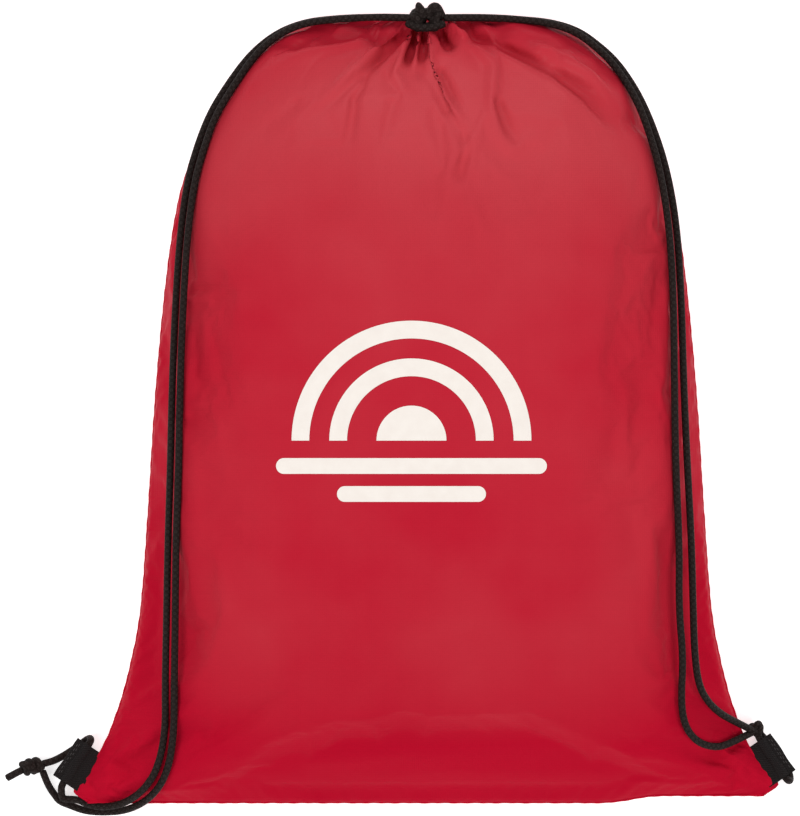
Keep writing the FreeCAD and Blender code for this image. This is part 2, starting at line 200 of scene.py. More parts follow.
def coordinates(mesh):
    co = np.zeros(len(mesh.vertices) * 3)
    mesh.vertices.foreach_get("co", co)
    return co.reshape(-1, 3)


def smoothStep(value):
    value = np.clip(value, 0, 1)
    return value * value * (3 - 2 * value)


# ---- drawcord ----
cordFacts = {
    "diameter": 3.5 * mm,
    "sides": 14,
    "step": 0.7 * mm,  # ring to ring along the cord
    "plait": 3.1 * mm,  # length of one braid repeat
    "strands": 6,  # raised strands round the cord
    "dark": (0.012, 0.007, 0.006),
    "light": (0.095, 0.075, 0.070),
}


def cordMaterial():
    made, tree, shader = newMaterial("braidedCord")
    uv = addNode(tree, "ShaderNodeUVMap", {"uv_map": "along"})
    parts = tree.nodes.new("ShaderNodeSeparateXYZ")
    tree.links.new(uv.socket, parts.inputs[0])
    along = Sock(tree, parts.outputs[0])
    around = Sock(tree, parts.outputs[1])
    turn = around * (cordFacts["strands"] * 2 * math.pi)
    run = along * (2 * math.pi / cordFacts["plait"])
    right = (turn * 0.5 + run).sin().abs()
    left = (turn * 0.5 - run).sin().abs()
    over = run.sin() * (turn * 0.5).sin()
    braid = right.larger(left) * 0.55 + over * 0.25
    grain = addNode(tree, "ShaderNodeTexNoise", {}, 0, Scale=2600.0, Detail=2.0)
    fleck = addNode(tree, "ShaderNodeTexNoise", {}, 0, Scale=900.0, Detail=1.0)
    light = ((braid - 0.50) * 2.6).clamp() * (0.25 + (grain - 0.35) * 1.3).clamp() + ((fleck - 0.60) * 6.0).clamp() * 0.45
    colour = addNode(
        tree, "ShaderNodeMix", {"data_type": "RGBA"}, 2,
        i0=light.clamp(), i6=(*cordFacts["dark"], 1), i7=(*cordFacts["light"], 1),
    )
    feed(tree, shader, "Base Color", colour)
    feed(tree, shader, "Roughness", (0.62 - light * 0.15).clamp())
    shader.inputs["Specular IOR Level"].default_value = 0.10
    bump = addNode(
        tree, "ShaderNodeBump", {}, 0, Strength=0.9, Distance=0.0005, Height=braid + grain * 0.25,
    )
    feed(tree, shader, "Normal", bump)
    return made


cordBlack = cordMaterial()


def splinePoints(name, route):
    # the smooth line of a cord, read from a curve with no bevel
    data = bpy.data.curves.new(name + "_line", "CURVE")
    data.dimensions = "3D"
    data.resolution_u = 10
    line = data.splines.new("NURBS")
    line.points.add(len(route) - 1)
    for point, place in zip(line.points, route):
        point.co = (*place, 1)
    line.order_u = 3
    line.use_endpoint_u = True
    carrier = bpy.data.objects.new(name + "_line", data)
    bpy.context.collection.objects.link(carrier)
    bpy.context.view_layer.update()
    mesh = bpy.data.meshes.new_from_object(carrier)
    points = [v.co.copy() for v in mesh.vertices]
    bpy.data.objects.remove(carrier)
    bpy.data.curves.remove(data)
    bpy.data.meshes.remove(mesh)
    return points


def spaced(points, step):
    # the same line with points at an even spacing
    line = np.array(points)
    gaps = np.linalg.norm(np.diff(line, axis=0), axis=1)
    keep = np.concatenate([[True], gaps > 1e-7])
    line = line[keep]
    travelled = np.concatenate([[0], np.cumsum(np.linalg.norm(np.diff(line, axis=0), axis=1))])
    count = max(4, int(travelled[-1] / step) + 1)
    wanted = np.linspace(0, travelled[-1], count)
    even = np.stack([np.interp(wanted, travelled, line[:, k]) for k in range(3)], axis=1)
    return even, wanted


def cordTube(name, route, radius=None, step=None, taper=None):
    # a braided tube along a route, with rounded ends; taper gives its thickness at even steps along it
    radius = radius or cordFacts["diameter"] / 2
    taper = taper or (1.0, 1.0)
    sides = cordFacts["sides"]
    line, travelled = spaced(splinePoints(name, route), step or cordFacts["step"])
    forward = np.gradient(line, axis=0)
    forward /= np.linalg.norm(forward, axis=1)[:, None]
    side = np.cross(forward[0], [0.13, 0.21, 0.97])
    side /= np.linalg.norm(side)
    points = []
    uv = []
    for place, direction, distance in zip(line, forward, travelled):
        side = side - direction * np.dot(side, direction)
        side /= np.linalg.norm(side)
        up = np.cross(direction, side)
        left = min(distance, travelled[-1] - distance)
        share = min(1.0, math.sqrt(max(0.0, 1 - (1 - min(1.0, left / (0.6 * radius))) ** 2)))
        thick = np.interp(distance / travelled[-1], np.linspace(0, 1, len(taper)), taper)
        for turn in range(sides):
            angle = 2 * math.pi * turn / sides
            phase = distance / cordFacts["plait"] * 2 * math.pi
            plait = abs(math.sin(3 * angle + phase)) - abs(math.sin(3 * angle - phase))
            size = radius * thick * max(0.05, share) * (1 + 0.035 * plait)
            points.append(place + (side * math.cos(angle) + up * math.sin(angle)) * size)
            uv.append((distance, turn / sides))
    rings = len(line)
    faces = gridFaces(rings, sides, True)
    for ring, flip in ((0, True), (rings - 1, False)):
        face = tuple(range(ring * sides, ring * sides + sides))
        faces.append(face[::-1] if flip else face)
    made = addMesh(name, points, faces, cordBlack, uv=uv)
    return made, [tuple(p) for p in line], float(travelled[-1])


def inMetres(points):
    return [Vector(p) * mm for p in points]


# Points run from the knot at the mouth to the corner, in millimetres.
leftOuterRoute = [
    (-6.8, 189.6, 66.2), (-18.6, 190.0, 62.8), (-32.0, 190.0, 60.2), (-46.0, 189.2, 57.9), (-59.0, 187.5, 55.2),
    (-72.0, 182.4, 53.8), (-84.4, 172.4, 54.8), (-95.0, 158.2, 60.3), (-103.9, 143.8, 61.8), (-110.0, 128.0, 65.8),
    (-114.9, 110.6, 69.2), (-118.3, 84.0, 73.6), (-120.5, 50.0, 77.4), (-122.0, 12.0, 80.0), (-122.8, -26.0, 79.0),
    (-124.0, -62.0, 72.8), (-124.7, -98.0, 65.2), (-125.4, -130.0, 53.8), (-125.3, -154.0, 41.2),
    (-129.2, -171.9, 31.6), (-136.4, -182.4, 24.4), (-145.8, -188.6, 13.8), (-156.0, -190.2, 8.0),
    (-163.4, -188.6, 6.6), (-167.6, -186.2, 6.2),
]
leftInnerRoute = [
    (-7.2, 189.8, 70.2), (-18.8, 190.2, 66.9), (-32.0, 189.8, 64.1), (-46.0, 188.9, 61.9), (-59.0, 187.2, 59.1),
    (-71.4, 181.7, 58.0), (-82.7, 171.5, 59.2), (-92.5, 156.9, 65.6), (-101.2, 142.7, 67.2), (-106.7, 127.2, 71.3),
    (-111.4, 110.4, 73.8), (-114.8, 84.0, 78.4), (-116.8, 50.0, 82.0), (-118.2, 12.0, 84.2), (-118.8, -26.0, 83.0),
    (-120.2, -62.0, 76.8), (-120.5, -98.0, 68.2), (-121.0, -130.0, 56.2), (-121.2, -156.0, 43.4),
    (-124.8, -174.6, 31.4), (-132.4, -185.6, 21.8), (-143.4, -191.6, 7.6), (-155.5, -192.6, 2.2),
    (-164.6, -191.8, 2.0), (-170.2, -189.6, 2.0),
]
rightOuterRoute = [
    (8.0, 189.7, 66.2), (19.8, 189.8, 62.8), (33.0, 189.6, 59.8), (47.0, 188.9, 56.7), (60.5, 187.6, 54.1),
    (73.2, 183.7, 53.7), (83.4, 176.3, 54.3), (91.9, 168.4, 55.3), (99.5, 157.5, 57.2), (104.9, 147.4, 58.9),
    (109.8, 135.4, 60.8), (114.4, 121.6, 63.8), (118.4, 103.6, 66.8), (121.2, 82.0, 69.8), (122.8, 52.0, 74.2),
    (123.8, 14.0, 78.0), (125.6, -26.0, 76.0), (127.6, -62.0, 69.4), (128.4, -94.0, 62.2), (129.2, -117.0, 55.8),
    (131.2, -131.5, 48.8), (136.2, -140.0, 40.4), (142.2, -145.2, 32.0), (147.4, -148.0, 24.6),
]
rightInnerRoute = [
    (8.4, 189.8, 70.2), (20.0, 190.0, 66.8), (33.0, 189.8, 63.8), (47.0, 188.9, 60.8), (60.0, 187.2, 58.2),
    (72.4, 182.9, 57.8), (82.2, 175.4, 58.5), (90.2, 167.5, 59.5), (97.6, 156.8, 61.4), (102.8, 146.8, 63.0),
    (107.2, 134.8, 65.0), (111.3, 121.0, 68.6), (114.9, 103.2, 72.2), (117.5, 82.0, 75.6), (119.0, 52.0, 79.4),
    (119.3, 14.0, 83.2), (120.0, -26.0, 81.8), (121.8, -64.0, 75.2), (121.5, -94.0, 68.6), (123.7, -118.0, 59.6),
    (122.6, -138.5, 51.8), (124.4, -150.8, 44.8), (130.2, -158.4, 37.8), (138.2, -161.2, 31.0),
    (145.4, -160.0, 25.0),
]

# The corner tabs point out and up from the lower corners.
tabFacts = {
    "across": 162.9,
    "up": -172.8,
    "turn": math.radians(33.9),
    "slip": 2.9,  # the right tab is sewn nearer the mouth
    "long": 21.5,
    "reach": 12.8,
    "thick": 1.1,
    "bore": 2.05,
    "tunnel": 6.8,
    "height": 9.0,
}


def corner(side, out, along, height):
    # a point past the corner seam, along it towards the mouth, and above the floor
    shift = along + (tabFacts["slip"] if side > 0 else 0)
    sine = math.sin(tabFacts["turn"])
    cosine = math.cos(tabFacts["turn"])
    x = tabFacts["across"] + out * cosine - shift * sine
    y = tabFacts["up"] + out * sine + shift * cosine
    return Vector((side * x, y, height))


bore = tabFacts["tunnel"]
level = tabFacts["height"]
leftThread = [
    (2.6, -18.0, 5.8), (4.6, -15.8, 7.0), (6.5, -13.2, 8.8), (bore, -9.6, level), (bore, -4.0, level),
    (bore, 1.5, level + 0.05), (bore, 7.5, level), (bore, 13.6, level), (8.5, 14.0, 2.0), (10.6, 7.4, 1.9),
    (13.8, -0.2, 2.4), (17.0, -6.0, 4.4), (20.4, -9.4, 6.0),
]
leftEnd = [
    (3.2, -19.6, 2.0), (6.4, -18.4, 2.2), (10.4, -17.0, 3.0), (14.8, -14.4, 4.4), (18.6, -11.6, 5.8),
]
rightThread = [
    (7.6, 14.4, 8.8), (bore, 11.6, level), (bore + 0.05, 6.0, level), (bore, 0.0, level + 0.05),
    (bore, -6.5, level), (bore, -13.4, level), (8.6, -13.4, 2.0), (10.6, -6.6, 1.9), (10.4, 0.0, 2.0),
    (9.8, 6.0, 2.2), (8.8, 11.0, 4.0), (8.4, 13.6, 6.2),
]
rightIntoKnot = [(8.6, 15.6, 7.8)]


def atCorner(side, points):
    return [corner(side, *p) for p in points]


cords = {}
for name, points, exitAt in (
    ("leftOuterCord", leftOuterRoute + atCorner(-1, leftThread), leftOuterRoute[0]),
    ("leftInnerCord", leftInnerRoute + atCorner(-1, leftEnd), leftInnerRoute[0]),
    ("rightOuterCord", rightOuterRoute + atCorner(1, rightThread), rightOuterRoute[0]),
    ("rightInnerCord", rightInnerRoute + atCorner(1, rightIntoKnot), rightInnerRoute[0]),
):
    piece, line, length = cordTube(name, inMetres(points))
    cords[name] = {"piece": piece, "line": line, "length": length, "exit": Vector(exitAt) * mm}
    say(f"{name} {length * 1000:.0f} mm")


# ---- cloth of the bag ----
# Rows down the list run from the bottom seam to the gathered end: distance along Y, half width,
# height of the side seam, rise of the front, drop of the back and softness of the edge, in millimetres.
bagRows = [
    (-186.8, 163.0, 9.0, 3.0, 3.0, 1.0),
    (-182.4, 169.2, 9.0, 18.0, 5.4, 1.0),
    (-173.0, 163.0, 9.0, 31.0, 7.0, 1.0),
    (-163.2, 156.5, 10.0, 40.0, 8.6, 1.1),
    (-150.0, 150.5, 13.0, 47.0, 12.1, 1.3),
    (-128.0, 143.5, 20.0, 53.0, 19.6, 1.7),
    (-95.0, 137.0, 30.0, 57.0, 29.7, 2.1),
    (-50.0, 133.5, 38.0, 60.0, 37.8, 2.4),
    (5.0, 130.0, 42.0, 62.0, 41.6, 2.6),
    (60.0, 125.0, 43.0, 60.5, 42.5, 2.6),
    (98.0, 119.5, 43.0, 57.5, 42.4, 2.5),
    (122.5, 112.5, 43.0, 54.0, 41.8, 2.4),
    (142.0, 103.0, 43.0, 49.5, 39.8, 2.3),
    (158.5, 93.0, 42.5, 43.5, 36.5, 2.2),
    (169.5, 83.5, 42.2, 38.0, 32.8, 2.1),
    (177.6, 75.0, 42.0, 31.6, 29.0, 2.0),
    (183.0, 67.0, 42.0, 25.2, 25.0, 2.0),
    (187.2, 58.0, 42.0, 19.8, 20.4, 2.0),
]
clothFacts = {
    "frontSquare": 3.6,
    "backSquare": 5.0,
    "columns": 132,  # across one half of the bag
    "rowStep": 2.5,  # row to row, in millimetres
    "mouthHeight": 42.0,
    "mouthAcross": 182.0,
    "mouthRadius": 15.5,  # where the cloth goes under the hem
    "capRows": 22,
    "pleats": 30,
    "pleatDeep": 2.6,
    "pleatReach": 46.0,
    "foldScale": 1.9,
    "creaseScale": 1.3,
    "cutWide": 0.340,
    "cutLong": 0.420,
}
# Folds on the front: points from the knot outwards in millimetres, height and half width.
frontFolds = [
    ([(-11.9, 183.5), (-20.0, 181.0), (-30.0, 178.0)], -3.0, 3.2),
    ([(-9.0, 184.0), (-18.9, 174.8), (-25.9, 167.8), (-33.0, 161.0)], -3.4, 2.6),
    ([(-13.0, 184.0), (-22.6, 175.0), (-30.6, 167.6), (-41.0, 157.6), (-57.3, 140.7)], 2.0, 2.6),
    ([(-5.0, 184.0), (-6.6, 177.1), (-9.4, 165.5)], -3.4, 2.0),
    ([(-7.2, 183.0), (-10.4, 176.0), (-14.4, 164.0), (-16.0, 152.0)], 1.8, 2.2),
    ([(-1.0, 184.0), (-1.6, 178.4), (-3.4, 167.3)], -3.4, 2.0),
    ([(-3.2, 184.0), (-4.0, 176.0), (-6.6, 164.0)], 1.8, 1.6),
    ([(1.0, 184.0), (2.0, 169.0), (6.7, 159.6), (10.2, 150.3), (16.0, 139.0), (18.9, 125.0)], 2.0, 2.6),
    ([(5.6, 166.0), (9.6, 158.6), (13.2, 150.0), (17.6, 143.0)], -2.0, 2.4),
    ([(18.3, 124.4), (16.4, 116.0), (15.0, 108.0)], -1.1, 3.4),
    ([(7.0, 184.0), (11.0, 178.0), (17.0, 175.6)], -3.2, 3.0),
    ([(10.0, 185.0), (16.0, 181.4), (24.0, 179.6)], 2.0, 2.6),
    ([(14.0, 185.0), (34.6, 180.7), (46.3, 171.8), (57.9, 164.3), (67.2, 159.6)], -3.0, 3.2),
    ([(62.0, 162.6), (76.5, 152.7), (90.5, 137.5), (95.0, 128.0)], -2.8, 3.8),
    ([(50.0, 174.0), (66.0, 169.0), (74.0, 161.6), (82.0, 151.8), (94.6, 137.0)], 2.6, 3.6),
    ([(22.0, 178.0), (32.3, 166.6), (31.8, 150.3), (34.6, 138.7), (40.4, 127.1), (49.7, 113.1)], 1.2, 3.6),
    ([(34.0, 150.0), (39.0, 138.0), (46.0, 128.0)], -1.1, 3.8),
    ([(-24.0, 184.0), (-46.8, 180.4), (-62.0, 175.0)], -1.9, 3.4),
    ([(-30.0, 181.0), (-50.0, 176.0), (-70.0, 166.0), (-84.0, 150.0)], 1.1, 4.4),
    ([(-29.0, 163.0), (-34.0, 149.2), (-36.3, 136.4), (-38.7, 120.0)], -0.9, 3.2),
    ([(-16.0, 150.0), (-19.0, 138.0), (-19.0, 122.0)], -0.7, 4.2),
    ([(60.0, 172.0), (78.0, 164.0), (90.0, 153.0)], -1.0, 3.0),
    ([(-60.0, 150.0), (-74.0, 138.0), (-84.0, 118.0)], -0.8, 5.0),
]
# Long shallow waves lower down: start, end, height and half width.
softWaves = [
    ([(-100.0, -60.0), (-92.0, -120.0), (-104.0, -165.0)], 1.0, 7.0),
    ([(96.0, -40.0), (104.0, -110.0), (96.0, -160.0)], -1.0, 8.0),
    ([(-60.0, -172.0), (-10.0, -168.0), (50.0, -173.0)], 1.2, 6.0),
    ([(-148.0, -172.0), (-128.0, -158.0), (-104.0, -150.0)], -1.4, 5.0),
    ([(148.0, -172.0), (126.0, -160.0), (100.0, -154.0)], -1.4, 5.0),
    ([(-110.0, 60.0), (-102.0, 0.0), (-108.0, -50.0)], 0.8, 8.0),
    ([(108.0, 80.0), (100.0, 20.0), (108.0, -40.0)], 0.8, 8.0),
    ([(-80.0, -130.0), (-20.0, -138.0), (60.0, -132.0)], -0.7, 9.0),
    ([(-90.0, 96.0), (-20.0, 84.0), (70.0, 92.0)], -0.6, 11.0),
    ([(-80.0, 14.0), (-10.0, 6.0), (80.0, 16.0)], 0.5, 12.0),
]


def eased(places, known, values):
    # a smooth line through known values that never overshoots
    known = np.asarray(known, float)
    values = np.asarray(values, float)
    gap = np.diff(known)
    slope = np.diff(values) / gap
    tangent = np.concatenate([[slope[0]], np.zeros(len(slope) - 1), [slope[-1]]])
    same = slope[:-1] * slope[1:] > 0
    with np.errstate(divide="ignore", invalid="ignore"):
        middle = 2 / (1 / slope[:-1] + 1 / slope[1:])
    tangent[1:-1] = np.where(same, np.nan_to_num(middle), 0)
    spot = np.clip(np.searchsorted(known, places) - 1, 0, len(gap) - 1)
    h = gap[spot]
    t = np.clip((places - known[spot]) / h, 0, 1)
    a, b = values[spot], values[spot + 1]
    p, q = tangent[spot] * h, tangent[spot + 1] * h
    return (2 * t**3 - 3 * t**2 + 1) * a + (t**3 - 2 * t**2 + t) * p + (3 * t**2 - 2 * t**3) * b + (t**3 - t**2) * q


def halfSection(half, seam, rise, square, soft, count):
    # one half of a cross-section, evenly spaced along its curve from -X to +X
    turn = np.linspace(-math.pi / 2, math.pi / 2, 500)
    across = np.sin(turn)
    up = np.maximum(0, 1 - np.abs(across) ** square) ** (1 / soft)
    x = across * half
    z = seam + rise * up
    travelled = np.concatenate([[0], np.cumsum(np.hypot(np.diff(x), np.diff(z)))])
    wanted = np.linspace(0, travelled[-1], count + 1)
    return np.interp(wanted, travelled, x), np.interp(wanted, travelled, z)


def bagSurface():
    # the bag without folds: rows from the bottom seam to the mouth, columns right round
    table = np.array(bagRows).T
    rows = []
    low, high = table[0][0], table[0][-1]
    spread = np.linspace(0, 1, int((high - low) / clothFacts["rowStep"]))
    # rows lie closer together towards the mouth and the bottom seam
    places = low + (high - low) * (1 - (1 - spread) ** 1.25) * (0.45 + 0.55 * spread)
    half = clothFacts["columns"]
    for y in places:
        wide, seam, rise, drop, soft = (float(eased(np.array([y]), table[0], table[k])[0]) for k in range(1, 6))
        frontX, frontZ = halfSection(wide, seam, rise, clothFacts["frontSquare"], soft, half)
        backX, backZ = halfSection(wide, seam, -drop, clothFacts["backSquare"], soft, half)
        x = np.concatenate([frontX[:-1], backX[::-1][:-1]])
        z = np.concatenate([frontZ[:-1], backZ[::-1][:-1]])
        rows.append(np.stack([x, np.full(len(x), y), z], axis=1))
    # front and back meet in the bottom seam
    meeting = rows[0].copy()
    meeting[:, 1] -= 0.8
    meeting[:, 2] = table[2][0]
    rows.insert(0, meeting)
    rim = rows[-1]
    columns = 2 * half
    angle = math.pi - 2 * math.pi * np.arange(columns) / columns
    mouth = np.stack(
        [
            clothFacts["mouthRadius"] * np.cos(angle),
            np.full(columns, 0.0),
            clothFacts["mouthHeight"] + clothFacts["mouthRadius"] * np.sin(angle),
        ],
        axis=1,
    )
    capRows = clothFacts["capRows"]
    for step in range(1, capRows + 1):
        share = step / capRows
        place = rim * (1 - share) + mouth * share
        # the gathered end swells a little and then dips into the mouth
        bulge = 1.2 * math.sin(math.pi * min(1, share * 1.3)) - 7.0 * max(0, share - 0.55) ** 1.5
        place[:, 1] = rim[0, 1] + bulge
        rows.append(place)
    return np.array(rows), angle, len(places) + 1


def normalsOf(grid):
    down = np.gradient(grid, axis=0)
    over = np.roll(grid, -1, axis=1) - np.roll(grid, 1, axis=1)
    normal = np.cross(over, down)
    size = np.linalg.norm(normal, axis=2)[..., None]
    return normal / np.maximum(size, 1e-9)


def strokeHeight(x, y, line, wide):
    # how strongly each place feels a fold: 1 on its line, 0 a few widths away, less at its ends
    line = np.array(line, float)
    pieces = np.diff(line, axis=0)
    lengths = np.linalg.norm(pieces, axis=1)
    total = lengths.sum()
    best = np.full(x.shape, 1e9)
    where = np.zeros(x.shape)
    travelled = 0.0
    for start, piece, length in zip(line[:-1], pieces, lengths):
        t = np.clip(((x - start[0]) * piece[0] + (y - start[1]) * piece[1]) / length**2, 0, 1)
        distance = np.hypot(x - start[0] - t * piece[0], y - start[1] - t * piece[1])
        near = distance < best
        best = np.where(near, distance, best)
        where = np.where(near, (travelled + t * length) / total, where)
        travelled += length
    taper = smoothStep(where / 0.08 + 0.35) * smoothStep((1 - where) / 0.55)
    width = wide * (0.75 + 0.9 * where)
    return np.exp(-((best / width) ** 2)) * taper


def foldedBag():
    grid, angle, bodyRows = bagSurface()
    normal = normalsOf(grid)
    half = clothFacts["columns"]
    columns = 2 * half
    rim = grid[bodyRows - 1]
    # how far each place is from the mouth, over the cloth
    fromMouth = np.zeros(grid.shape[:2])
    steps = np.linalg.norm(np.diff(grid, axis=0), axis=2)
    fromMouth[:-1] = np.cumsum(steps[::-1], axis=0)[::-1]
    height = np.zeros(grid.shape[:2])
    circle = angle[None, :]
    for number in range(clothFacts["pleats"]):
        centre = -math.pi + 2 * math.pi * (number + 0.5 + random.uniform(-0.3, 0.3)) / clothFacts["pleats"]
        wide = random.uniform(0.055, 0.085)
        reach = clothFacts["pleatReach"] * random.uniform(0.6, 1.5)
        deep = clothFacts["pleatDeep"] * random.uniform(0.7, 1.25)
        drift = random.uniform(-0.0016, 0.0016)
        onFront = 0.35 if math.sin(centre) > 0.15 else 1.0  # the front has its own folds beyond the rim
        off = np.angle(np.exp(1j * (circle - centre - drift * fromMouth)))
        spread = wide * (1 + fromMouth / 90)
        fade = np.exp(-((fromMouth / reach) ** 2))
        overRim = np.where(np.arange(grid.shape[0])[:, None] < bodyRows - 4, onFront, 1.0)
        height += deep * np.exp(-((off / spread) ** 2)) * fade * overRim
    height -= 0.45 * clothFacts["pleatDeep"] * np.exp(-((fromMouth / clothFacts["pleatReach"]) ** 2))
    x = grid[..., 0]
    y = grid[..., 1]
    front = np.zeros(grid.shape[:2])
    front[:, 1:half] = 1
    edge = np.minimum(np.arange(columns), np.abs(np.arange(columns) - half))
    front *= smoothStep(edge / 8)[None, :]
    for line, tall, wide in frontFolds:
        height += clothFacts["foldScale"] * tall * strokeHeight(x, y, line, wide * 0.85) * front
    for line, tall, wide in softWaves:
        height += tall * strokeHeight(x, y, line, wide) * front
        height += 0.8 * tall * strokeHeight(-x, y + 12, line, wide) * (1 - front) * smoothStep((edge - 10) / 10)[None, :]
    # creases that run from the corner tabs into the flaps
    for side in (-1, 1):
        for tip, tall in (((118, -150), 1.3), ((112, -166), -1.1), ((136, -136), -0.9)):
            line = [(side * 160, -174), (side * (160 + tip[0]) / 2, (-174 + tip[1]) / 2 + 1.5), (side * tip[0], tip[1])]
            height += tall * strokeHeight(x, y, line, 4.0) * smoothStep((edge - 1) / 6)[None, :]
    height *= smoothStep(np.arange(grid.shape[0]) / 5.0)[:, None]
    return grid + normal * height[..., None], bodyRows


def gridMesh(name, grid, material):
    rows, columns = grid.shape[:2]
    return addMesh(name, grid.reshape(-1, 3) * mm, gridFaces(rows, columns, True), material)


simulationFacts = {"frames": 18, "pressure": 0.55, "slack": -0.012, "cap": 5.0 * mm}


def relaxCloth(piece, rows, bodyRows):
    # lets the stuffed cloth settle, held at its seams and at the mouth
    mesh = piece.data
    columns = 2 * clothFacts["columns"]
    before = coordinates(mesh)
    held = piece.vertex_groups.new(name="held")
    for row in range(rows):
        for column in range(columns):
            seam = min(column, abs(column - clothFacts["columns"]), columns - column)
            weight = 0.0
            if row < 2 or row > rows - 5 or seam == 0:
                weight = 1.0
            elif seam < 4:
                weight = 0.5
            if weight:
                held.add([row * columns + column], weight, "REPLACE")
    cloth = piece.modifiers.new("cloth", "CLOTH")
    facts = cloth.settings
    facts.quality = 6
    facts.mass = 0.12
    facts.air_damping = 2
    facts.tension_stiffness = 25
    facts.compression_stiffness = 25
    facts.shear_stiffness = 8
    facts.bending_stiffness = 0.6
    facts.vertex_group_mass = "held"
    facts.pin_stiffness = 1
    facts.use_pressure = True
    facts.uniform_pressure_force = simulationFacts["pressure"]
    facts.shrink_min = simulationFacts["slack"]
    facts.effector_weights.gravity = 0
    cloth.collision_settings.use_collision = False
    cloth.point_cache.frame_start = 1
    cloth.point_cache.frame_end = simulationFacts["frames"]
    scene = bpy.context.scene
    for number in range(1, simulationFacts["frames"] + 1):
        scene.frame_set(number)
    settled = piece.evaluated_get(bpy.context.evaluated_depsgraph_get()).to_mesh()
    after = coordinates(settled)
    piece.evaluated_get(bpy.context.evaluated_depsgraph_get()).to_mesh_clear()
    piece.modifiers.remove(cloth)
    scene.frame_set(1)
    moved = after - before
    size = np.linalg.norm(moved, axis=1)[:, None]
    moved *= np.minimum(1, simulationFacts["cap"] / np.maximum(size, 1e-9))
    after = before + moved
    after[:, 2] = np.maximum(after[:, 2], 0.0006)
    mesh.vertices.foreach_set("co", after.ravel())
    mesh.update()
    say(f"cloth settled, moved up to {size.max() * 1000:.1f} mm")


def clothMaterial():
    made, tree, shader = newMaterial("redTaffeta")
    place = addNode(tree, "ShaderNodeTexCoord", {}, 3)
    cloudy = addNode(tree, "ShaderNodeTexNoise", {}, 0, Vector=place, Scale=9.0, Detail=3.0, Roughness=0.55)
    blotch = addNode(tree, "ShaderNodeTexNoise", {}, 0, Vector=place, Scale=60.0, Detail=4.0, Roughness=0.6)
    parts = tree.nodes.new("ShaderNodeSeparateXYZ")
    tree.links.new(place.socket, parts.inputs[0])
    x, y, z = (Sock(tree, parts.outputs[k]) for k in range(3))
    warp = (x * (2 * math.pi / 0.0009)).sin()
    weft = (y * (2 * math.pi / 0.0011)).sin()
    weave = warp * 0.5 + weft * 0.5
    slub = addNode(tree, "ShaderNodeTexNoise", {}, 0, Vector=place, Scale=700.0, Detail=2.0)
    # painted sheen: the red turns paler and less saturated where the bag stands out most, above all towards the mouth,
    # in place of the soft light reflected off the coating there; cloudy and blotchy noise breaks it up
    raised = ((z - 0.047) * 26.0).clamp()
    upper = ((y - 0.02) * 9.0).clamp() * ((0.200 - y) * 30.0).clamp()
    paintedSheen = (raised * (0.30 + upper * 0.50 + (cloudy - 0.5) * 0.9) + (blotch - 0.5) * 0.12 * raised).clamp()
    # the paler red is the painted sheen, the saturated red is the cloth's own colour
    colour = addNode(
        tree, "ShaderNodeMix", {"data_type": "RGBA"}, 2,
        i0=paintedSheen, i6=(0.500, 0.0045, 0.024, 1), i7=(0.555, 0.0560, 0.0700, 1),
    )
    tone = (weave * 0.025 + (slub - 0.5) * 0.05 + (cloudy - 0.5) * 0.10 + 0.97).clamp()
    black = addNode(
        tree, "ShaderNodeMix", {"data_type": "RGBA"}, 2, i0=tone, i6=(0.05, 0.0, 0.002, 1), i7=colour
    )
    feed(tree, shader, "Base Color", black)
    feed(tree, shader, "Roughness", (0.44 + (blotch - 0.5) * 0.12).clamp())
    shader.inputs["Specular IOR Level"].default_value = 0.01
    feed(tree, shader, "Coat Weight", ((y - 0.11) * 8.0).clamp() * 0.12)
    shader.inputs["Coat Roughness"].default_value = 0.22
    weaveBump = addNode(tree, "ShaderNodeBump", {}, 0, Strength=0.22, Distance=0.00012, Height=weave + slub)
    creaseBump = addNode(
        tree, "ShaderNodeBump", {}, 0, Strength=0.30, Distance=0.0012, Height=blotch, Normal=weaveBump,
    )
    feed(tree, shader, "Normal", creaseBump)
    return made


clothRed = clothMaterial()
folded, bodyRows = foldedBag()
clothRowCount = folded.shape[0]
wholeBag = gridMesh("wholeBag", folded, clothRed)
relaxCloth(wholeBag, clothRowCount, bodyRows)
bagGrid = coordinates(wholeBag.data).reshape(clothRowCount, -1, 3)
bpy.data.objects.remove(wholeBag)

